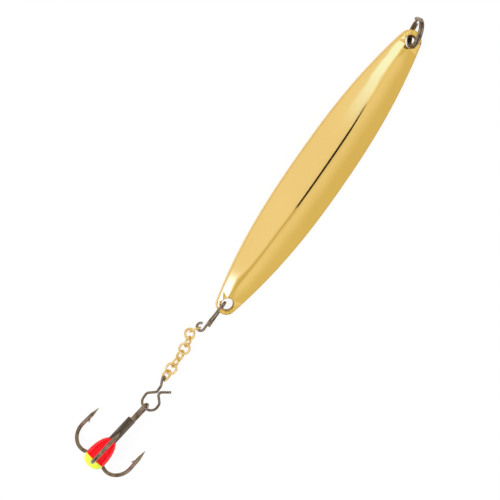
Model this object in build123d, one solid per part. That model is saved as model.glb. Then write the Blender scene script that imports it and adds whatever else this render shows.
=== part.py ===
"""Ice-fishing jigging spoon: ridged body, split ring, wire link, short chain, snap and drop treble.

Frame, in millimetres: the spoon lies on a table at z = 0 with +Z up. X runs along the body from the
chain towards the line ring, and x = y = 0 is midway between the two holes, on the flat back facet
that the body lies on.
"""
from build123d import *
from math import asin, cos, degrees, radians, sin, sqrt, tan
import os

# ------------------------------------------------------------------ body, in its own upright frame
HOLE_SPACING = 65.0        # between the two hole centres
HOLE_D = 2.65
HOLE_LEAN = 5.0            # degrees, each hole is square to the slope of its tip
TOP_TIP_R = 2.42           # round end at the line ring
BOTTOM_TIP_R = 2.2         # round end at the chain
BODY_HALF_WIDTH = 5.65
FLANK_POWER = 2.34         # how full the flanks are between the middle and the tips
FLANK_TAPER = 13.5         # degrees, where a flank runs into the round end
BACK_SLOPE = 15.0          # degrees, each back facet rises from the keel
FRONT_SLOPE = 15.0         # degrees, each front facet falls from the ridge
LEFT_WALL = 1.172          # flank wall between the left front facet and the back facet, in the middle
RIGHT_WALL = 1.122         # the same on the right
LEFT_TIP_HEIGHT = 3.1      # ridge height that the left front facet aims at, at the tips
RIGHT_TIP_HEIGHT = 2.5     # the same on the right, lower, so that the ridge bows to the left
BACK_FLAT_HALF = 17.0      # half the length of the flat part of each back facet
BACK_TIP_LIFT = 0.75       # the keel rises this much from there to the tips
EDGE_ROUND = 0.22          # flanks and ridge
HOLE_ROUND = 0.16
BODY_SIDE_SHIFT = 0.55     # keel to hole line, once the body has rolled on to its facet

# ------------------------------------------------------------------ wires and clearances
RING_WIRE = 0.55
LINK_WIRE = 0.5
STEEL_WIRE = 0.55          # wire link and snap
HOOK_WIRE = 0.8
PLAY = 0.06                # between wires that bear on each other
TABLE_GAP = 0.02

# ------------------------------------------------------------------ split ring
RING_OD = 6.5
RING_TURNS = 1.92
RING_COIL_PLAY = 0.03      # between the two coils
RING_X = 34.33
RING_Y = 0.16
RING_HEADING = 18.3        # degrees, the ring's plane against X
RING_LEAN = 17.5           # degrees, its top leans to the right
RING_START = 345.0         # degrees round the ring, where the wire's first end lies

# ------------------------------------------------------------------ wire link in the bottom hole
LINK_EYE_R = 0.8           # to the middle of the wire
LINK_EYE_X = -39.3
LINK_EYE_Y = 1.72
LINK_EYE_Z = 1.28
LINK_EYE_WRAP = 262.0      # degrees
LINK_LOOP_X = -32.42       # the loop's end, inside the hole
LINK_TOP_Z = 3.48          # strand over the tip
LINK_BOTTOM_Z = 0.33       # strand under the tip
LINK_LOOP_ROUND = 1.05
LINK_STRAND_Y = 0.45       # strand under the tip
LINK_STRAND_STEP = 0.15    # from each strand to the loop's end between them
LINK_CUT_X = -38.3         # cut end beside the eye
LINK_CLOSE_X = -37.0       # the strands meet here
LINK_OPEN_X = -34.7        # and part here to pass the tip
LINK_SEAT_ANGLE = 151.0    # degrees, where the first chain link bears on the eye

# ------------------------------------------------------------------ chain
CHAIN_LENGTH = 2.68        # of one link, outside
CHAIN_WIDTH = 2.5
# heading, pitch and roll of each link, in degrees; roll 0 lies flat
CHAIN_POSE = [(146, 2, 90), (209, -3, -25), (190, 4, 68), (182, 0, 2),
              (184, -1, -58), (180, -1, 65), (177, 0, 5), (180, 0, -52)]

# ------------------------------------------------------------------ snap
SNAP_HEADING = 180.0
SNAP_EYE_R = 0.66          # to the middle of the wire
SNAP_EYE_TILT = 25.0       # degrees, the eye leans to suit the last link
SNAP_SHANK = 2.95          # from the last link's wire to the neck
SNAP_SHANK_Y = -0.37
SNAP_BEND = 0.4            # small bends, to the middle of the wire
SNAP_LOOP_R = 1.6
SNAP_LOOP_FAR = 7.1       # far side of the pear loop
SNAP_LOOP_LEFT = 1.2
SNAP_LOOP_RIGHT = -2.2
SNAP_SHOULDER = 1.35       # from the neck to the loop's full width
SNAP_NECK = 0.35           # half the length of the closed neck
SNAP_TAIL_Y = -1.0         # tail beside the shank
SNAP_TAIL_X = 1.3
SNAP_TAIL_END_Y = -2.8
SNAP_SEAT_ANGLE = 10.0     # degrees round the loop, where the hook hangs

# ------------------------------------------------------------------ treble hook
UP_HOOK = 90.0             # degrees round the shank, 0 is to the right
RIGHT_HOOK = -30.0
LEFT_HOOK = 210.0
HOOK_HEADING = 171.8
HOOK_PITCH = 3.0           # degrees, the eye end is the lower one
EYE_TILT = 20.0            # degrees, the eye's plane against the upright
EYE_R = 0.70               # to the middle of the wire
EYE_END = 1.9              # the strands start to close here, from the seat
EYE_ENTRY_R = 3.0          # easy bend where each strand leaves the shank
SHANK_START = 3.3          # braze begins, from the seat
BRAZE_SKIN = 0.07
BRAZE_CHAMFER = 0.25
BRAZE_IN_DROP = 0.8        # the sleeve ends this far inside the drop
BEND_AT = 11.25            # bend centre, from the seat
BEND_R = 3.6
SPEAR_LEAN = 3.0           # degrees, the spear leans in towards the point
SPEAR = 2.6                # full wire between the bend and the needle point
NEEDLE = 1.95
NEEDLE_TIP_D = 0.06
BARB_ROOT = 2.0            # barb root, back from the point
BARB_NOTCH = 2.8           # bottom of the cut behind the barb, back from the point
BARB_BACK = 3.5            # barb tip, back from the point
BARB_STAND = 0.4           # barb tip off the wire
BARB_WIDTH = 0.3
HOOK_PLAY = 0.06           # between the three wires of the shank

# ------------------------------------------------------------------ epoxy drop
DROP_START = 9.2           # from the seat
DROP_WIDEST = 14.0
DROP_END = 16.25
DROP_R = 2.3
DROP_NECK_R = 0.95
DROP_COLOUR_LINE = 14.45   # red above, yellow below
DROP_NECK_SLOPE = 0.9      # how steeply the drop opens at its neck

os.makedirs("parts", exist_ok=True)


def turned(direction, about, angle):
    """A vector turned about another by an angle in degrees."""
    return direction.rotate(Axis((0, 0, 0), about), angle)


def heading_vector(heading, pitch=0.0):
    """Unit vector with a heading in the table's plane and a pitch above it."""
    flat = cos(radians(pitch))
    return Vector(flat * cos(radians(heading)), flat * sin(radians(heading)), sin(radians(pitch)))


def round_wire(path, diameter):
    """Round wire along a path."""
    section = Plane(origin=path @ 0, z_dir=path % 0) * Circle(diameter / 2)
    return sweep(section, path=path)


def save(shape, name):
    """One node, one file."""
    shape.label = name
    export_step(shape, f"parts/{name}.step")
    return shape


# ------------------------------------------------------------------ body
def flank(x, tip_r):
    """Half width of the body at x, on the side whose round end has radius tip_r."""
    end_x = HOLE_SPACING / 2 + tip_r * sin(radians(FLANK_TAPER))
    end_width = tip_r * cos(radians(FLANK_TAPER))
    return BODY_HALF_WIDTH - (BODY_HALF_WIDTH - end_width) * (abs(x) / end_x) ** FLANK_POWER


def body_outline():
    """Closed plan outline: two full flanks and a round end about each hole."""
    hole_x = HOLE_SPACING / 2
    taper = radians(FLANK_TAPER)
    stations = [-0.85, -0.6, -0.3, 0.0, 0.3, 0.6, 0.85]
    top_end = (hole_x + TOP_TIP_R * sin(taper), TOP_TIP_R * cos(taper))
    bottom_end = (-hole_x - BOTTOM_TIP_R * sin(taper), BOTTOM_TIP_R * cos(taper))
    points = [bottom_end]
    for share in stations:
        x = share * hole_x
        points.append((x, flank(x, TOP_TIP_R if x > 0 else BOTTOM_TIP_R)))
    points.append(top_end)
    left = Spline(*points, tangents=[(cos(taper), sin(taper)), (cos(taper), -sin(taper))])
    right = mirror(left, Plane.XZ)
    top = ThreePointArc(top_end, (hole_x + TOP_TIP_R, 0), (top_end[0], -top_end[1]))
    bottom = ThreePointArc(bottom_end, (-hole_x - BOTTOM_TIP_R, 0), (bottom_end[0], -bottom_end[1]))
    return make_face([left, top, right, bottom])


def facet_block(profile, slope, side):
    """Block swept across the body from a profile in the XZ plane.

    side is +1 where the swept surface rises towards +Y and -1 where it rises towards -Y.
    """
    reach = 2 * BODY_HALF_WIDTH
    step = Vector(0, cos(radians(slope)), side * sin(radians(slope)))
    start = profile.moved(Location(step * (-reach / cos(radians(slope)))))
    return extrude(start, amount=2 * reach / cos(radians(slope)), dir=step)


def front_profile(middle, tip):
    """Side view under a front facet's ridge line."""
    end = HOLE_SPACING / 2 + max(TOP_TIP_R, BOTTOM_TIP_R)
    crest = ThreePointArc((-end, 0, tip), (0, 0, middle), (end, 0, tip))
    floor = -3 * BODY_HALF_WIDTH
    sides = Polyline((end, 0, tip), (end, 0, floor), (-end, 0, floor), (-end, 0, tip))
    return make_face([crest, sides])


def back_profile():
    """Side view above the keel: flat in the middle and lifted towards both tips."""
    end = HOLE_SPACING / 2 + max(TOP_TIP_R, BOTTOM_TIP_R)
    ceiling = 4 * BODY_HALF_WIDTH
    flat = Line((-BACK_FLAT_HALF, 0, 0), (BACK_FLAT_HALF, 0, 0))
    top = TangentArc((BACK_FLAT_HALF, 0, 0), (end, 0, BACK_TIP_LIFT), tangent=(1, 0, 0))
    bottom = TangentArc((-BACK_FLAT_HALF, 0, 0), (-end, 0, BACK_TIP_LIFT), tangent=(-1, 0, 0))
    sides = Polyline((end, 0, BACK_TIP_LIFT), (end, 0, ceiling), (-end, 0, ceiling), (-end, 0, BACK_TIP_LIFT))
    return make_face([flat, top, bottom, sides])


def body_place():
    """Roll on to the right back facet, keel on the table."""
    return Location((0, BODY_SIDE_SHIFT, 0)) * Rotation(BACK_SLOPE, 0, 0)


def rim_edges(solid, walls):
    """Edges where a wall meets a face that isn't one of the walls."""
    rims = []
    for edge in solid.edges():
        owners = [wall for wall in walls if any(edge.is_same(side) for side in wall.edges())]
        if len(owners) == 1:
            rims.append(edge)
    return rims


def lure_body():
    """Gold-plated brass body, rolled on to its right back facet."""
    height = 4 * BODY_HALF_WIDTH
    blank = extrude(body_outline(), amount=height)
    back = back_profile()
    blank &= facet_block(back, BACK_SLOPE, 1)
    blank &= facet_block(back, BACK_SLOPE, -1)
    crown = BODY_HALF_WIDTH * (tan(radians(FRONT_SLOPE)) + tan(radians(BACK_SLOPE)))
    blank &= facet_block(front_profile(LEFT_WALL + crown, LEFT_TIP_HEIGHT), FRONT_SLOPE, -1)
    blank &= facet_block(front_profile(RIGHT_WALL + crown, RIGHT_TIP_HEIGHT), FRONT_SLOPE, 1)
    walls = blank.faces().filter_by(lambda face: abs(face.normal_at(face.center()).Z) < 0.05)
    ridge = blank.edges().sort_by(lambda edge: (edge @ 0.5).Z - abs((edge @ 0.5).Y))[-1]
    blank = fillet(rim_edges(blank, walls) + [ridge], EDGE_ROUND)
    for side in (1, -1):
        drill = Location((side * HOLE_SPACING / 2, 0, LEFT_TIP_HEIGHT)) * Rotation(0, side * HOLE_LEAN, 0)
        blank -= drill * Cylinder(HOLE_D / 2, height)
    bores = blank.faces().filter_by(GeomType.CYLINDER).filter_by(
        lambda face: abs(face.radius - HOLE_D / 2) < 0.001)
    blank = fillet(rim_edges(blank, bores), HOLE_ROUND)
    return body_place() * blank


# ------------------------------------------------------------------ split ring
def ring_plane():
    """Plane of the split ring: x along its heading, y up its lean, z along its axis."""
    along = heading_vector(RING_HEADING)
    side = heading_vector(RING_HEADING - 90)
    up = side * sin(radians(RING_LEAN)) + Vector(0, 0, cos(radians(RING_LEAN)))
    half_pack = RING_WIRE + RING_COIL_PLAY / 2
    height = (RING_OD / 2) * cos(radians(RING_LEAN)) + half_pack * sin(radians(RING_LEAN)) + TABLE_GAP
    return Plane(origin=(RING_X, RING_Y, height), x_dir=along, z_dir=along.cross(up))


def split_ring():
    """Nearly two coils of round wire that lie against each other."""
    pitch = RING_WIRE + RING_COIL_PLAY
    height = pitch * RING_TURNS
    radius = (RING_OD - RING_WIRE) / 2
    coil = Helix(pitch=pitch, height=height, radius=radius)
    section = Plane(origin=coil @ 0, z_dir=coil % 0) * Circle(RING_WIRE / 2)
    wire = sweep(section, path=coil, is_frenet=True)
    return ring_plane().location * Location((0, 0, -height / 2), (0, 0, RING_START)) * wire


# ------------------------------------------------------------------ wire link
def link_eye_point(angle):
    """Point on the middle of the wire link's eye."""
    turn = radians(angle)
    return Vector(LINK_EYE_X + LINK_EYE_R * cos(turn), LINK_EYE_Y + LINK_EYE_R * sin(turn), LINK_EYE_Z)


def upper_wire_link():
    """One wire: cut end, strand under the tip, loop through the hole, strand over the tip, open eye."""
    entry = link_eye_point(270)
    loop_y = LINK_STRAND_Y + LINK_STRAND_STEP
    far_y = LINK_STRAND_Y + 2 * LINK_STRAND_STEP
    shank_z = (LINK_EYE_Z + LINK_BOTTOM_Z) / 2
    points = [
        (LINK_CUT_X, LINK_STRAND_Y, LINK_EYE_Z),
        (LINK_CLOSE_X, LINK_STRAND_Y, shank_z),
        (LINK_OPEN_X, LINK_STRAND_Y, LINK_BOTTOM_Z),
        (LINK_LOOP_X, LINK_STRAND_Y, LINK_BOTTOM_Z),
        (LINK_LOOP_X, loop_y, LINK_TOP_Z),
        (LINK_OPEN_X, far_y, LINK_TOP_Z),
        (LINK_CLOSE_X, entry.Y, LINK_EYE_Z),
        entry,
    ]
    strands = FilletPolyline(*points, radius=LINK_LOOP_ROUND)
    middle = link_eye_point(270 - LINK_EYE_WRAP / 2)
    eye = ThreePointArc(entry, middle, link_eye_point(270 - LINK_EYE_WRAP))
    return round_wire(Wire([*strands.edges(), eye]), STEEL_WIRE)


# ------------------------------------------------------------------ chain
def link_frames():
    """Seat, centre and plane of each chain link, from the wire link's eye to the snap."""
    seat = link_eye_point(LINK_SEAT_ANGLE)
    middle_length = CHAIN_LENGTH - LINK_WIRE
    bearing = (LINK_WIRE + STEEL_WIRE) / 2 + PLAY
    frames = []
    for heading, pitch, roll in CHAIN_POSE:
        along = heading_vector(heading, pitch)
        level = heading_vector(heading - 90)
        across = turned(level, along, -roll)
        centre = seat + along * (middle_length / 2 - bearing)
        frames.append((seat, Plane(origin=centre, x_dir=along, z_dir=along.cross(across))))
        seat = centre + along * (middle_length / 2)
        bearing = LINK_WIRE + PLAY
    return frames, seat


def chain_link(plane):
    """Closed oval of round wire."""
    end_r = (CHAIN_WIDTH - LINK_WIRE) / 2
    side = (CHAIN_LENGTH - CHAIN_WIDTH) / 2
    outline = [
        Line((-side, end_r), (side, end_r)),
        ThreePointArc((side, end_r), (side + end_r, 0), (side, -end_r)),
        Line((side, -end_r), (-side, -end_r)),
        ThreePointArc((-side, -end_r), (-side - end_r, 0), (-side, end_r)),
    ]
    return plane.location * round_wire(Wire(outline), LINK_WIRE)


# ------------------------------------------------------------------ snap
def snap_plane(seat):
    """Plane of the snap's pear loop: x from the last link to the hook, y to the left, z down."""
    rise = hook_seat_height() - seat.Z
    pitch = degrees(asin(rise / snap_hook_seat()[0].X))
    along = heading_vector(SNAP_HEADING, pitch)
    left = heading_vector(SNAP_HEADING - 90)
    return Plane(origin=seat, x_dir=along, z_dir=along.cross(left))


def snap_hook_seat():
    """Where the hook hangs on the pear loop, and the wire's direction there, in the snap's plane."""
    turn = radians(SNAP_SEAT_ANGLE)
    centre = Vector(SNAP_LOOP_FAR - SNAP_LOOP_R, SNAP_LOOP_LEFT - SNAP_LOOP_R, 0)
    return centre + Vector(cos(turn), sin(turn), 0) * SNAP_LOOP_R, Vector(-sin(turn), cos(turn), 0)


def hook_snap(plane):
    """One wire: small upright eye, shank, pear loop and a tail that leads the hook in."""
    back = -((LINK_WIRE + STEEL_WIRE) / 2 + PLAY)
    tilt = radians(SNAP_EYE_TILT)
    rise = Vector(0, sin(tilt), -cos(tilt)) * SNAP_EYE_R
    points = [
        Vector(back + SNAP_EYE_R, 0, 0) - rise,
        Vector(back, 0, 0) - rise,
        Vector(back, 0, 0) + rise,
        Vector(back + SNAP_EYE_R, 0, 0) + rise,
        (back + 3 * SNAP_EYE_R, SNAP_SHANK_Y, 0),
        (SNAP_SHANK, SNAP_SHANK_Y, 0),
        (SNAP_SHANK + SNAP_SHOULDER, SNAP_LOOP_LEFT, 0),
        (SNAP_LOOP_FAR, SNAP_LOOP_LEFT, 0),
        (SNAP_LOOP_FAR, SNAP_LOOP_RIGHT, 0),
        (SNAP_SHANK + SNAP_SHOULDER + SNAP_NECK, SNAP_LOOP_RIGHT, 0),
        (SNAP_SHANK + SNAP_NECK, SNAP_TAIL_Y, 0),
        (SNAP_SHANK - SNAP_NECK, SNAP_TAIL_Y, 0),
        (SNAP_TAIL_X, SNAP_TAIL_END_Y, 0),
    ]
    small = SNAP_EYE_R * 0.95
    bends = [small, small, SNAP_BEND, SNAP_BEND, SNAP_BEND, SNAP_LOOP_R * 0.6, SNAP_LOOP_R, SNAP_LOOP_R,
             SNAP_LOOP_R * 0.6, SNAP_BEND, SNAP_BEND]
    path = FilletPolyline(*points, radius=bends)
    return plane.location * round_wire(path, STEEL_WIRE)


# ------------------------------------------------------------------ treble hook
def bundle_r():
    """Distance of each of the three wires from the axis of the shank."""
    return (HOOK_WIRE + HOOK_PLAY) / sqrt(3)


def spoke(angle):
    """Unit vector across the hook's axis: 0 is right, 90 is up."""
    return Vector(0, cos(radians(angle)), sin(radians(angle)))


def eye_middle():
    """Middle between the two wires of the eye: the seat, seen from the axis of the shank."""
    return (spoke(UP_HOOK) + spoke(RIGHT_HOOK)) * (bundle_r() / 2)


def hook_seat_height():
    """Height of the seat when the two lower hooks lie on the table."""
    reach = (bundle_r() + 2 * BEND_R) * -sin(radians(RIGHT_HOOK)) + HOOK_WIRE / 2 + TABLE_GAP
    return reach - BEND_AT * sin(radians(HOOK_PITCH)) + eye_middle().Z


def hook_plane(seat):
    """Axis frame of the treble: x along the shank away from the eye, y to the right, z up."""
    along = heading_vector(HOOK_HEADING, HOOK_PITCH)
    right = heading_vector(HOOK_HEADING + 90)
    up = along.cross(right)
    middle = eye_middle()
    return Plane(origin=seat - right * middle.Y - up * middle.Z, x_dir=along, z_dir=up)


def spear_points(angle):
    """Start of the spear, start of the needle point and its tip, for a hook at an angle."""
    lean = radians(SPEAR_LEAN)
    out = spoke(angle)
    centre = Vector(BEND_AT, 0, 0) + out * (bundle_r() + BEND_R)
    start = centre + Vector(-sin(lean), 0, 0) * BEND_R + out * (BEND_R * cos(lean))
    run = Vector(-cos(lean), 0, 0) - out * sin(lean)
    return start, start + run * SPEAR, start + run * (SPEAR + NEEDLE), run


def hook_curve(angle, shank_from):
    """Middle line of one hook from its shank round the bend to the needle point."""
    out = spoke(angle)
    inner = out * bundle_r()
    start, needle, _, _ = spear_points(angle)
    lowest = Vector(BEND_AT + BEND_R, 0, 0) + out * (bundle_r() + BEND_R)
    shank = Line(Vector(shank_from, 0, 0) + inner, Vector(BEND_AT, 0, 0) + inner)
    return [shank, ThreePointArc(shank @ 1, lowest, start), Line(start, needle)]


def spear_end(angle):
    """Needle point and barb of one hook."""
    _, needle, tip, run = spear_points(angle)
    out = spoke(angle)
    point = Plane(origin=(needle + tip) / 2, z_dir=run).location * Cone(
        HOOK_WIRE / 2, NEEDLE_TIP_D / 2, NEEDLE)
    inward = run.cross(run.cross(out)).normalized()
    root = tip - run * BARB_ROOT
    notch = tip - run * BARB_NOTCH
    peak = tip - run * BARB_BACK + inward * (HOOK_WIRE / 2 + BARB_STAND)
    blade = Polyline(root, peak, notch, root)
    barb = extrude(make_face(blade), amount=BARB_WIDTH / 2, dir=run.cross(out), both=True)
    return point + barb


def treble_double_wire():
    """One wire: the upper and the right-hand hook with the long eye between them."""
    middle = eye_middle()
    tilt = radians(EYE_TILT)
    up = Vector(0, -sin(tilt), cos(tilt)) * EYE_R
    end = -((STEEL_WIRE + HOOK_WIRE) / 2 + PLAY)
    shank = Vector(DROP_START - SHANK_START, 0, 0)
    upper = Vector(SHANK_START, 0, 0) + spoke(UP_HOOK) * bundle_r()
    lower = Vector(SHANK_START, 0, 0) + spoke(RIGHT_HOOK) * bundle_r()
    eye = FilletPolyline(
        upper + shank,
        upper,
        Vector(EYE_END, 0, 0) + middle + up,
        Vector(end, 0, 0) + middle + up,
        Vector(end, 0, 0) + middle - up,
        Vector(EYE_END, 0, 0) + middle - up,
        lower,
        lower + shank,
        radius=[EYE_ENTRY_R, EYE_R, EYE_R * 0.98, EYE_R * 0.98, EYE_R, EYE_ENTRY_R])
    first = hook_curve(UP_HOOK, DROP_START)
    last = hook_curve(RIGHT_HOOK, DROP_START)
    path = Wire([*first, *eye.edges(), *last])
    return round_wire(path, HOOK_WIRE) + spear_end(UP_HOOK) + spear_end(RIGHT_HOOK)


def treble_third_hook():
    """Single left-hand hook, brazed on beside the double one."""
    path = Wire(hook_curve(LEFT_HOOK, SHANK_START + BRAZE_CHAMFER))
    return round_wire(path, HOOK_WIRE) + spear_end(LEFT_HOOK)


def shank_wires():
    """The three hooks' plain wires, as they pass the braze and the drop."""
    return [round_wire(Wire(hook_curve(angle, 0)), HOOK_WIRE) for angle in (UP_HOOK, RIGHT_HOOK, LEFT_HOOK)]


def braze_core():
    """Rounded triangular sleeve about the three wires, before they are cut from it."""
    corner = HOOK_WIRE / 2 + BRAZE_SKIN
    rings = Sketch() + [Location(Vector(spoke(angle).Y, spoke(angle).Z, 0) * bundle_r()) * Circle(corner)
                        for angle in (UP_HOOK, RIGHT_HOOK, LEFT_HOOK)]
    section = Plane(origin=(SHANK_START, 0, 0), x_dir=(0, 1, 0), z_dir=(1, 0, 0)) * make_hull(rings.edges())
    sleeve = extrude(section, amount=DROP_START + BRAZE_IN_DROP - SHANK_START)
    start = sleeve.faces().sort_by(Axis.X)[0]
    return chamfer(start.edges(), BRAZE_CHAMFER)


def drop_core():
    """Teardrop of epoxy round the shank and the bends, before anything is cut from it."""
    neck = (DROP_START, DROP_NECK_R)
    widest = (DROP_WIDEST, DROP_R)
    flank = Spline(neck, widest, tangents=[(1, DROP_NECK_SLOPE), (1, 0)])
    cap = Spline(widest, (DROP_END, 0), tangents=[(1, 0), (0, -1)])
    base = Polyline((DROP_END, 0), (DROP_START, 0), neck)
    return revolve(make_face([flank, cap, base]), axis=Axis.X)


def treble_parts():
    """The five pieces of the treble, about its own axis."""
    double = treble_double_wire()
    third = treble_third_hook()
    sleeve = braze_core()
    drop = drop_core()
    for wire in shank_wires():
        sleeve -= wire
        drop -= wire
    drop -= braze_core()
    length = 4 * DROP_R
    red_side = Location((DROP_COLOUR_LINE - length / 2, 0, 0)) * Box(length, length, length)
    red = drop & red_side
    yellow = drop - red_side
    return {"treble_double_wire": double, "treble_third_hook": third, "braze_sleeve": sleeve,
            "drop_red": red, "drop_yellow": yellow}


def main():
    """Build every node and write it."""
    pieces = {"lure_body": lure_body(), "split_ring": split_ring(), "upper_wire_link": upper_wire_link()}
    frames, last_seat = link_frames()
    for number, (_, plane) in enumerate(frames, start=1):
        pieces[f"chain_link_{number}"] = chain_link(plane)
    snap = snap_plane(last_seat)
    pieces["hook_snap"] = hook_snap(snap)
    hook = hook_plane(snap.from_local_coords(snap_hook_seat()[0]))
    for name, piece in treble_parts().items():
        pieces[name] = hook.location * piece
    for name, piece in pieces.items():
        save(piece, name)


if __name__ == "__main__":
    main()
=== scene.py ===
"""Visual model of a ridged jigging spoon with a short chain and a treble hook in a teardrop bead."""

import logging
import math
from dataclasses import dataclass
from enum import Enum

import bpy
from mathutils import Matrix, Vector


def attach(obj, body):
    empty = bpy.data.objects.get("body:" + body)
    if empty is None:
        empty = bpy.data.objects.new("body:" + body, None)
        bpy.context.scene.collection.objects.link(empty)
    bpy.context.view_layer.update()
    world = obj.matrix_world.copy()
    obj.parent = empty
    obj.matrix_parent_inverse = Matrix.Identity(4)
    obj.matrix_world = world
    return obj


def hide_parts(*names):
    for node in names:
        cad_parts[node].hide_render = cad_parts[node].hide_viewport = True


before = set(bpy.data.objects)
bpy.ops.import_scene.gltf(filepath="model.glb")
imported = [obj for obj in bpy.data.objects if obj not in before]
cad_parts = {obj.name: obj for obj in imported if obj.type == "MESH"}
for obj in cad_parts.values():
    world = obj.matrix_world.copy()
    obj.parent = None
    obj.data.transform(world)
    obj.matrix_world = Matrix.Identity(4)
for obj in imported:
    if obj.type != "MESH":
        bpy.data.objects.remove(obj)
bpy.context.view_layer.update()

MM = 0.001
MICRON = 1e-6
BLENDS_FROM, BLENDS_TO = 0.3, 0.7
WHITE = (1.0, 1.0, 1.0, 1.0)
log = logging.getLogger("jigging_spoon")


class Slot(Enum):
    """Material slots of the record."""

    GOLD = "gold_plate"
    CHAIN = "chain_gold"
    GUNMETAL = "gunmetal"
    BRONZE = "bronze_hook"
    BRAZE = "braze"
    RED = "epoxy_red"
    YELLOW = "epoxy_yellow"


# ---------------------------------------------------------------- finishes
class NodeSheet:
    """A material's node tree with short ways to add what every finish needs."""

    def __init__(self, name: str) -> None:
        """Start a material with a Principled shader."""
        self.material = bpy.data.materials.new(name)
        self.material.use_nodes = True
        self.tree = self.material.node_tree
        self.shader = self.tree.nodes["Principled BSDF"]
        self.place = self.add("ShaderNodeTexCoord").outputs["Object"]

    def add(self, kind: str) -> bpy.types.Node:
        """Add a node of a kind."""
        return self.tree.nodes.new(kind)

    def link(self, source: bpy.types.NodeSocket, target: bpy.types.NodeSocket) -> None:
        """Join two sockets."""
        self.tree.links.new(source, target)

    def sum(self, operation: str, *values: object) -> bpy.types.NodeSocket:
        """Work out one sum.

        Args:
            operation: Name of the Math node's operation.
            *values: Sockets or plain numbers.

        Returns:
            The result's socket.
        """
        node = self.add("ShaderNodeMath")
        node.operation = operation
        for socket, value in zip(node.inputs, values):
            if isinstance(value, bpy.types.NodeSocket):
                self.link(value, socket)
            else:
                socket.default_value = value
        return node.outputs[0]

    def noise(self, size_mm: float, detail: float = 3.0,
              stretch: tuple = (1.0, 1.0, 1.0)) -> bpy.types.NodeSocket:
        """Noise on the object's own coordinates.

        Args:
            size_mm: Width of one blotch.
            detail: Octaves of finer noise.
            stretch: Scale along each axis.

        Returns:
            The noise's factor socket.
        """
        mapping = self.add("ShaderNodeMapping")
        mapping.inputs["Scale"].default_value = stretch
        self.link(self.place, mapping.inputs["Vector"])
        noise = self.add("ShaderNodeTexNoise")
        noise.inputs["Scale"].default_value = 1.0 / (size_mm * MM)
        noise.inputs["Detail"].default_value = detail
        self.link(mapping.outputs["Vector"], noise.inputs["Vector"])
        return noise.outputs["Fac"]

    def ramp(self, value: bpy.types.NodeSocket, low: float, high: float,
             colours: tuple) -> bpy.types.NodeSocket:
        """Blend two colours over a range of a value.

        Args:
            value: The value that picks the colour.
            low: Value at the first colour.
            high: Value at the second colour.
            colours: The two linear colours.

        Returns:
            The colour socket.
        """
        ramp = self.add("ShaderNodeValToRGB")
        ramp.color_ramp.elements[0].position = low
        ramp.color_ramp.elements[1].position = high
        for element, colour in zip(ramp.color_ramp.elements, colours):
            element.color = (*colour, 1.0)
        self.link(value, ramp.inputs["Fac"])
        return ramp.outputs["Color"]

    def spread(self, value: bpy.types.NodeSocket, low: float, high: float) -> bpy.types.NodeSocket:
        """Map the busy middle of a noise on to a range.

        Args:
            value: The noise.
            low: Result where the middle starts.
            high: Result where it ends.

        Returns:
            The mapped value's socket.
        """
        spread = self.add("ShaderNodeMapRange")
        spread.inputs["From Min"].default_value = BLENDS_FROM
        spread.inputs["From Max"].default_value = BLENDS_TO
        spread.inputs["To Min"].default_value = low
        spread.inputs["To Max"].default_value = high
        self.link(value, spread.inputs["Value"])
        return spread.outputs["Result"]

    def bump(self, height: bpy.types.NodeSocket, depth_um: float,
             under: bpy.types.NodeSocket | None = None) -> bpy.types.NodeSocket:
        """Bump of a real depth.

        Args:
            height: Height pattern from 0 to 1.
            depth_um: Depth at 1, in thousandths of a millimetre.
            under: Normal of a coarser bump below this one.

        Returns:
            The normal socket.
        """
        bump = self.add("ShaderNodeBump")
        bump.inputs["Strength"].default_value = 1.0
        bump.inputs["Distance"].default_value = depth_um * MICRON
        self.link(height, bump.inputs["Height"])
        if under is not None:
            self.link(under, bump.inputs["Normal"])
        return bump.outputs["Normal"]


@dataclass(frozen=True)
class FacetCrown:
    """Slight outward swell of each long facet, in metres, measured across from the ridge.

    The ridge runs along y = ridge_y + ridge_bow * x squared, and the swell is highest at middle from it.
    """

    ridge_y: float = -0.00044
    ridge_bow: float = 1.105
    middle: float = 0.0026
    curve: float = 4.5

    def height(self, sheet: NodeSheet) -> bpy.types.NodeSocket:
        """Build the swell's height.

        Args:
            sheet: Material that it goes into.

        Returns:
            Socket with the height in metres.
        """
        axes = sheet.add("ShaderNodeSeparateXYZ")
        sheet.link(sheet.place, axes.inputs[0])
        bow = sheet.sum("MULTIPLY", axes.outputs["X"], axes.outputs["X"])
        ridge = sheet.sum("MULTIPLY_ADD", bow, self.ridge_bow, self.ridge_y)
        across = sheet.sum("ABSOLUTE", sheet.sum("SUBTRACT", axes.outputs["Y"], ridge))
        off = sheet.sum("SUBTRACT", across, self.middle)
        return sheet.sum("MULTIPLY", sheet.sum("MULTIPLY", off, off), -self.curve)


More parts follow.
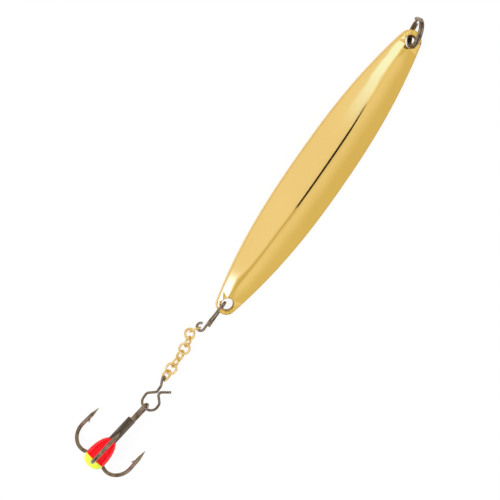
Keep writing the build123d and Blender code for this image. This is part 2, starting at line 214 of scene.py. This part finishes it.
@dataclass(frozen=True)
class PlatedMetal:
    """Bright or satin plating with a soft tarnish and fine polishing marks."""

    name: str
    bright: tuple
    dull: tuple
    blotch_mm: float
    roughness: tuple
    polish_um: float
    ripple_mm: float = 2.5
    ripple_um: float = 0.0
    stretch: tuple = (1.0, 1.0, 1.0)
    crown: FacetCrown | None = None

    def material(self) -> bpy.types.Material:
        """Build the plating."""
        sheet = NodeSheet(self.name)
        shader = sheet.shader
        shader.inputs["Metallic"].default_value = 1.0
        tarnish = sheet.noise(self.blotch_mm, 4.0, self.stretch)
        sheet.link(sheet.ramp(tarnish, 0.35, 0.68, (self.bright, self.dull)), shader.inputs["Base Color"])
        wear = sheet.noise(self.blotch_mm * 0.6, 3.0)
        sheet.link(sheet.spread(wear, *self.roughness), shader.inputs["Roughness"])
        marks = sheet.bump(sheet.noise(0.12, 2.0, self.stretch), self.polish_um)
        if self.ripple_um:
            marks = sheet.bump(sheet.noise(self.ripple_mm, 1.0, self.stretch), self.ripple_um, marks)
        if self.crown is not None:
            marks = sheet.bump(self.crown.height(sheet), 1.0 / MICRON, marks)
        sheet.link(marks, shader.inputs["Normal"])
        return sheet.material


@dataclass(frozen=True)
class BrazeMetal:
    """Dark braze that has run between the wires and cooled in small flow marks."""

    name: str = "braze_metal"
    dark: tuple = (0.07, 0.052, 0.036)
    light: tuple = (0.14, 0.11, 0.08)

    def material(self) -> bpy.types.Material:
        """Build the braze."""
        sheet = NodeSheet(self.name)
        shader = sheet.shader
        shader.inputs["Metallic"].default_value = 1.0
        flow = sheet.noise(0.9, 4.0, (0.35, 1.0, 1.0))
        sheet.link(sheet.ramp(flow, 0.35, 0.7, (self.dark, self.light)), shader.inputs["Base Color"])
        sheet.link(sheet.spread(sheet.noise(0.5), 0.28, 0.45), shader.inputs["Roughness"])
        coarse = sheet.bump(sheet.noise(0.7, 2.0, (0.4, 1.0, 1.0)), 22.0)
        sheet.link(sheet.bump(sheet.noise(0.1), 1.6, coarse), shader.inputs["Normal"])
        return sheet.material


@dataclass(frozen=True)
class Epoxy:
    """Glossy poured epoxy, a little cloudy inside, with a soft orange-peel surface."""

    name: str
    body: tuple
    cloud: tuple
    depth_mm: float

    def material(self) -> bpy.types.Material:
        """Build the epoxy."""
        sheet = NodeSheet(self.name)
        shader = sheet.shader
        shader.inputs["Roughness"].default_value = 0.16
        shader.inputs["IOR"].default_value = 1.53
        shader.inputs["Specular IOR Level"].default_value = 0.18
        shader.inputs["Subsurface Weight"].default_value = 0.12
        shader.inputs["Subsurface Radius"].default_value = (1.0, 0.35, 0.25)
        shader.inputs["Subsurface Scale"].default_value = self.depth_mm * MM
        cloud = sheet.noise(1.6, 4.0)
        sheet.link(sheet.ramp(cloud, 0.38, 0.68, (self.body, self.cloud)), shader.inputs["Base Color"])
        peel = sheet.bump(sheet.noise(1.4, 1.0), 14.0)
        sheet.link(sheet.bump(sheet.noise(0.2), 0.8, peel), shader.inputs["Normal"])
        return sheet.material


FINISHES = {
    Slot.GOLD: PlatedMetal("gold_plating", (0.82, 0.55, 0.14), (0.79, 0.52, 0.125), 9.0, (0.05, 0.075), 0.04,
                           9.0, 3.0, (0.35, 1.0, 1.0), FacetCrown()),
    Slot.CHAIN: PlatedMetal("chain_plating", (0.97, 0.76, 0.34), (0.82, 0.52, 0.15), 0.8, (0.08, 0.16), 0.3),
    Slot.GUNMETAL: PlatedMetal("gunmetal_plating", (0.36, 0.28, 0.2), (0.15, 0.105, 0.07), 0.9,
                               (0.12, 0.22), 0.3),
    Slot.BRONZE: PlatedMetal("bronze_plating", (0.34, 0.25, 0.16), (0.13, 0.088, 0.052), 1.1,
                             (0.14, 0.24), 0.5),
    Slot.BRAZE: BrazeMetal(),
    Slot.RED: Epoxy("red_epoxy", (1.0, 0.002, 0.01), (0.9, 0.001, 0.008), 1.2),
    Slot.YELLOW: Epoxy("yellow_epoxy", (0.72, 0.92, 0.09), (0.86, 0.84, 0.03), 1.2),
}


class FinishShelf:
    """Makes each finish once and hands it out."""

    def __init__(self) -> None:
        """Start with nothing made."""
        self.made: dict[Slot, bpy.types.Material] = {}

    def dress(self, piece: bpy.types.Object, slot: Slot) -> None:
        """Give a piece the finish of a slot, all over."""
        if slot not in self.made:
            self.made[slot] = FINISHES[slot].material()
        piece.data.materials.clear()
        piece.data.materials.append(self.made[slot])
        for face in piece.data.polygons:
            face.material_index = 0


# ---------------------------------------------------------------- modelling helpers
def select_only(piece: bpy.types.Object) -> None:
    """Deselect everything and make one piece active."""
    if bpy.context.object and bpy.context.object.mode != "OBJECT":
        bpy.ops.object.mode_set(mode="OBJECT")
    bpy.ops.object.select_all(action="DESELECT")
    piece.hide_viewport = False
    piece.select_set(True)
    bpy.context.view_layer.objects.active = piece


def apply_modifier(piece: bpy.types.Object, kind: str, **settings: object) -> None:
    """Add a modifier, set it and apply it.

    Args:
        piece: The mesh that gets it.
        kind: Modifier type.
        **settings: Its properties.
    """
    select_only(piece)
    modifier = piece.modifiers.new(kind.lower(), kind)
    for name, value in settings.items():
        setattr(modifier, name, value)
    bpy.ops.object.modifier_apply(modifier=modifier.name)


def refined_copy(node: str, name: str, smooth_degrees: float) -> bpy.types.Object:
    """Merged, smoothly shaded copy of a CAD node.

    Args:
        node: CAD node to copy.
        name: Name of the copy.
        smooth_degrees: Edges sharper than this stay sharp.

    Returns:
        The copy, at the origin.
    """
    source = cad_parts[node]
    piece = bpy.data.objects.new(name, source.data.copy())
    bpy.context.scene.collection.objects.link(piece)
    piece.data.name = name
    select_only(piece)
    bpy.ops.object.mode_set(mode="EDIT")
    bpy.ops.mesh.select_all(action="SELECT")
    bpy.ops.mesh.remove_doubles(threshold=0.0004 * MM)
    bpy.ops.object.mode_set(mode="OBJECT")
    bpy.ops.object.shade_smooth_by_angle(angle=math.radians(smooth_degrees))
    return piece


def finish_piece(piece: bpy.types.Object, body: str, slot: Slot, shelf: FinishShelf,
                 *nodes: str) -> bpy.types.Object:
    """Dress a piece, set it on its body and let it stand for its CAD nodes.

    Args:
        piece: The finished mesh.
        body: CAD body that it rides on.
        slot: Its material slot.
        shelf: Where finishes come from.
        *nodes: CAD nodes that it replaces.

    Returns:
        The piece.
    """
    shelf.dress(piece, slot)
    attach(piece, body)
    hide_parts(*nodes)
    log.info("%s: %d faces on %s", piece.name, len(piece.data.polygons), body)
    return piece


# ---------------------------------------------------------------- sub-assemblies
@dataclass
class SpoonBody:
    """Ridged body, rolled on to its right back facet. Sizes are in millimetres, angles in degrees.

    Each pair of heights is where a front facet would meet the middle plane: half way along, and at a tip.
    """

    smooth_degrees: float = 35.0
    roll: float = 15.0
    slope: float = 15.0
    side_shift: float = 0.55
    half_length: float = 34.92
    left_heights: tuple = (4.2, 3.1)
    right_heights: tuple = (4.15, 2.5)
    cut_reach: float = 0.064
    softer: float = 3.4
    even_to: float = 28.5
    fades_by: float = 30.5

    def ridge(self, x: float) -> Vector:
        """Sharp meeting line of the two front facets.

        Args:
            x: Place along the body, in millimetres.

        Returns:
            Its point in the table's frame, in millimetres.
        """
        share = (x / self.half_length) ** 2
        left, right = (high - (high - low) * share for high, low in (self.left_heights, self.right_heights))
        side = (left - right) / (2.0 * math.tan(math.radians(self.slope)))
        turned = Matrix.Rotation(math.radians(self.roll), 3, "X") @ Vector((x, side, (left + right) / 2.0))
        return turned + Vector((0.0, self.side_shift, 0.0))

    def soften_ridge(self, skin: bpy.types.Object) -> None:
        """Widen the small round on the ridge, as polishing does, and leave it narrow at the holes.

        Args:
            skin: The body's mesh.
        """
        for vertex in skin.data.vertices:
            point = vertex.co / MM
            peak = self.ridge(point.x)
            offset = point - peak
            offset.x = 0.0
            if offset.length > self.cut_reach:
                continue
            fade = (self.fades_by - abs(point.x)) / (self.fades_by - self.even_to)
            growth = 1.0 + (self.softer - 1.0) * min(max(fade, 0.0), 1.0)
            vertex.co = (point + offset * (growth - 1.0)) * MM

    def build(self, shelf: FinishShelf) -> list[bpy.types.Object]:
        """Build the body.

        Args:
            shelf: Where finishes come from.

        Returns:
            The pieces made.
        """
        skin = refined_copy("lure_body", "plated_body", self.smooth_degrees)
        self.soften_ridge(skin)
        apply_modifier(skin, "WEIGHTED_NORMAL", keep_sharp=True, weight=100)
        return [finish_piece(skin, "lure_body", Slot.GOLD, shelf, "lure_body")]


@dataclass
class WireFittings:
    """Split ring, wire link, chain and snap."""

    links: int = 8
    smooth_degrees: float = 40.0

    def build(self, shelf: FinishShelf) -> list[bpy.types.Object]:
        """Build the bent wires.

        Args:
            shelf: Where finishes come from.

        Returns:
            The pieces made.
        """
        wires = [("split_ring", "split_ring", Slot.GUNMETAL),
                 ("upper_wire_link", "wire_link", Slot.GUNMETAL),
                 ("hook_snap", "hook_snap", Slot.GUNMETAL)]
        wires += [(f"chain_link_{i}", f"chain_link_{i}", Slot.CHAIN) for i in range(1, self.links + 1)]
        made = []
        for node, body, slot in wires:
            wire = refined_copy(node, f"{node}_wire", self.smooth_degrees)
            made.append(finish_piece(wire, body, slot, shelf, node))
        return made


@dataclass
class TrebleHook:
    """Double hook, brazed single hook, sleeve and two-colour epoxy drop."""

    smooth_degrees: float = 40.0

    def build(self, shelf: FinishShelf) -> list[bpy.types.Object]:
        """Build the treble.

        Args:
            shelf: Where finishes come from.

        Returns:
            The pieces made.
        """
        made = []
        for node, slot in (("treble_double_wire", Slot.BRONZE), ("treble_third_hook", Slot.BRONZE),
                           ("braze_sleeve", Slot.BRAZE), ("drop_red", Slot.RED),
                           ("drop_yellow", Slot.YELLOW)):
            piece = refined_copy(node, f"{node}_piece", self.smooth_degrees)
            made.append(finish_piece(piece, "treble_hook", slot, shelf, node))
        return made


# ---------------------------------------------------------------- stage
@dataclass
class Studio:
    """Camera, pale floor, soft light and the cards that the plating mirrors."""

    aim: tuple = (-20.785, 2.462)
    aim_height: float = 2.1
    distance: float = 400.0
    field: float = 101.35
    turn: float = -55.08
    sensor: float = 36.0
    sky: float = 0.55
    table: tuple = (0.96, 0.96, 0.96, 1.0)
    floor_glow: float = 0.92
    reach: float = 330.0
    horizon_height: float = 122.0

    def camera(self) -> None:
        """Set the camera straight above the spoon."""
        data = bpy.data.cameras.new("camera")
        data.sensor_width = self.sensor
        data.lens = self.sensor * self.distance / self.field
        data.clip_start = 0.01
        camera = bpy.data.objects.new("camera", data)
        camera.location = (self.aim[0] * MM, self.aim[1] * MM, (self.aim_height + self.distance) * MM)
        camera.rotation_euler = (0.0, 0.0, math.radians(self.turn))
        bpy.context.scene.collection.objects.link(camera)
        bpy.context.scene.camera = camera

    def world(self) -> None:
        """Soft surroundings that eyes and mirrors see as clean white."""
        world = bpy.data.worlds.new("surroundings")
        bpy.context.scene.world = world
        world.use_nodes = True
        tree = world.node_tree
        plain = tree.nodes["Background"]
        plain.inputs["Color"].default_value = WHITE
        plain.inputs["Strength"].default_value = self.sky
        white = tree.nodes.new("ShaderNodeBackground")
        white.inputs["Color"].default_value = WHITE
        white.inputs["Strength"].default_value = 1.0
        path = tree.nodes.new("ShaderNodeLightPath")
        seen = path.outputs["Is Camera Ray"]
        for ray in ("Is Glossy Ray", "Is Transmission Ray"):
            add = tree.nodes.new("ShaderNodeMath")
            add.operation = "ADD"
            add.use_clamp = True
            tree.links.new(seen, add.inputs[0])
            tree.links.new(path.outputs[ray], add.inputs[1])
            seen = add.outputs[0]
        self.mix_in(tree, seen, plain.outputs[0], white.outputs[0], tree.nodes["World Output"])

    def mix_in(self, tree: bpy.types.NodeTree, share: bpy.types.NodeSocket, plain: bpy.types.NodeSocket,
               other: bpy.types.NodeSocket, output: bpy.types.Node) -> None:
        """Mix two shaders and send the result to an output.

        Args:
            tree: Node tree to work in.
            share: How much of the second shader there is.
            plain: First shader.
            other: Second shader.
            output: The output node.
        """
        mix = tree.nodes.new("ShaderNodeMixShader")
        tree.links.new(share, mix.inputs["Fac"])
        tree.links.new(plain, mix.inputs[1])
        tree.links.new(other, mix.inputs[2])
        tree.links.new(mix.outputs[0], output.inputs["Surface"])

    def floor(self) -> None:
        """Pale table that keeps the spoon's soft shadow."""
        bpy.ops.object.select_all(action="DESELECT")
        bpy.ops.mesh.primitive_plane_add(size=3.0, location=(0.0, 0.0, 0.0))
        floor = bpy.context.object
        floor.name = "table"
        sheet = NodeSheet("table_white")
        sheet.shader.inputs["Base Color"].default_value = self.table
        sheet.shader.inputs["Roughness"].default_value = 0.9
        seen = sheet.add("ShaderNodeLightPath").outputs["Is Camera Ray"]
        share = sheet.sum("MULTIPLY", seen, self.floor_glow)
        glow = sheet.add("ShaderNodeEmission")
        output = sheet.tree.nodes["Material Output"]
        self.mix_in(sheet.tree, share, sheet.shader.outputs[0], glow.outputs[0], output)
        floor.data.materials.append(sheet.material)

    def card(self, name: str, centre: tuple, size: tuple, turn: tuple, near: tuple, far: tuple,
             low: float = 0.0, high: float = 1.0) -> None:
        """Flat card that only mirrors see, blended from one colour to another along its own Y.

        Args:
            name: Its name.
            centre: Its middle, in millimetres.
            size: Its two sides, in millimetres.
            turn: Rotation in degrees.
            near: Light at its low end.
            far: Light at its high end.
            low: Share of its length where the blend starts.
            high: Share of its length where the blend ends.
        """
        bpy.ops.object.select_all(action="DESELECT")
        bpy.ops.mesh.primitive_plane_add(size=1.0, location=[c * MM for c in centre],
                                         rotation=[math.radians(a) for a in turn])
        card = bpy.context.object
        card.name = name
        card.scale = (size[0] * MM, size[1] * MM, 1.0)
        sheet = NodeSheet(name)
        axes = sheet.add("ShaderNodeSeparateXYZ")
        sheet.link(sheet.place, axes.inputs[0])
        along = sheet.sum("ADD", axes.outputs["Y"], 0.5)
        glow = sheet.add("ShaderNodeEmission")
        blend = sheet.add("ShaderNodeMix")
        blend.data_type = "VECTOR"
        share = sheet.add("ShaderNodeMapRange")
        share.inputs["From Min"].default_value = low
        share.inputs["From Max"].default_value = high
        sheet.link(along, share.inputs["Value"])
        sheet.link(share.outputs["Result"], blend.inputs["Factor"])
        blend.inputs["A"].default_value = near
        blend.inputs["B"].default_value = far
        sheet.link(blend.outputs["Result"], glow.inputs["Color"])
        sheet.link(glow.outputs[0], sheet.tree.nodes["Material Output"].inputs["Surface"])
        card.data.materials.append(sheet.material)
        for kind in ("camera", "diffuse", "shadow", "transmission", "volume_scatter"):
            setattr(card, f"visible_{kind}", False)

    def cards(self) -> None:
        """Hang the cards round and over the spoon."""
        dark, dusk, veil = (0.03, 0.025, 0.02), (0.16, 0.14, 0.11), (0.76, 0.74, 0.6)
        flash, sheen = (2.4, 3.6, 12.0), (1.2, 1.75, 4.0)
        cool, warm, lemon = (1.06, 1.11, 1.51), (0.85, 0.84, 0.76), (1.02, 1.05, 1.29)
        flat, wall = (0.0, 0.0, 0.0), (90.0, 0.0, 0.0)
        self.card("overhead", (0.0, 10.0, 398.0), (260.0, 120.0), flat, cool, cool)
        self.card("side_wall", (-10.0, -300.0, 190.0), (900.0, 140.0), wall, warm, lemon, 0.37, 0.53)
        self.card("ridge_flag", (11.5, -76.0, 100.0), (41.0, 134.0), flat, dark, dark)
        self.card("ridge_veil", (-36.5, -76.0, 99.0), (55.0, 134.0), flat, veil, veil)
        self.card("tip_glow", (-66.0, -7.0, 250.0), (26.0, 56.0), (0.0, 0.0, 90.0), cool, flash, 0.25, 0.5)
        self.card("top_glow", (62.0, -12.0, 250.0), (20.0, 76.0), (0.0, 0.0, -90.0), cool, sheen, 0.2, 0.7)
        for number in range(4):
            side = number * math.pi / 2.0
            centre = (self.reach * math.sin(side) - 10.0, -self.reach * math.cos(side), 60.0)
            size, turn = (2.0 * self.reach, self.horizon_height), (90.0, 0.0, math.degrees(side))
            self.card(f"horizon_{number}", centre, size, turn, dusk, dusk)

    def lamp(self, name: str, place: tuple, size: float, power: float) -> None:
        """Square soft lamp that faces the spoon.

        Args:
            name: Its name.
            place: Its middle, in millimetres.
            size: Its side, in millimetres.
            power: Its power in watts.
        """
        data = bpy.data.lights.new(name, "AREA")
        data.shape = "SQUARE"
        data.size = size * MM
        data.energy = power
        lamp = bpy.data.objects.new(name, data)
        lamp.location = [c * MM for c in place]
        lamp.rotation_euler = (-Vector(place)).to_track_quat("-Z", "Y").to_euler()
        lamp.visible_glossy = False
        bpy.context.scene.collection.objects.link(lamp)

    def build(self) -> None:
        """Build the whole stage."""
        scene = bpy.context.scene
        scene.view_settings.view_transform = "Standard"
        self.world()
        self.camera()
        self.floor()
        self.cards()
        self.lamp("key", (-300.0, 350.0, 600.0), 500.0, 4.0)
        self.lamp("fill", (300.0, -400.0, 500.0), 600.0, 1.5)


def main() -> None:
    """Build the spoon and its stage."""
    logging.basicConfig(level=logging.INFO)
    shelf = FinishShelf()
    pieces: list[bpy.types.Object] = []
    for part in (SpoonBody(), WireFittings(), TrebleHook()):
        pieces += part.build(shelf)
    Studio().build()
    log.info("%d pieces", len(pieces))


if __name__ == "__main__":
    main()
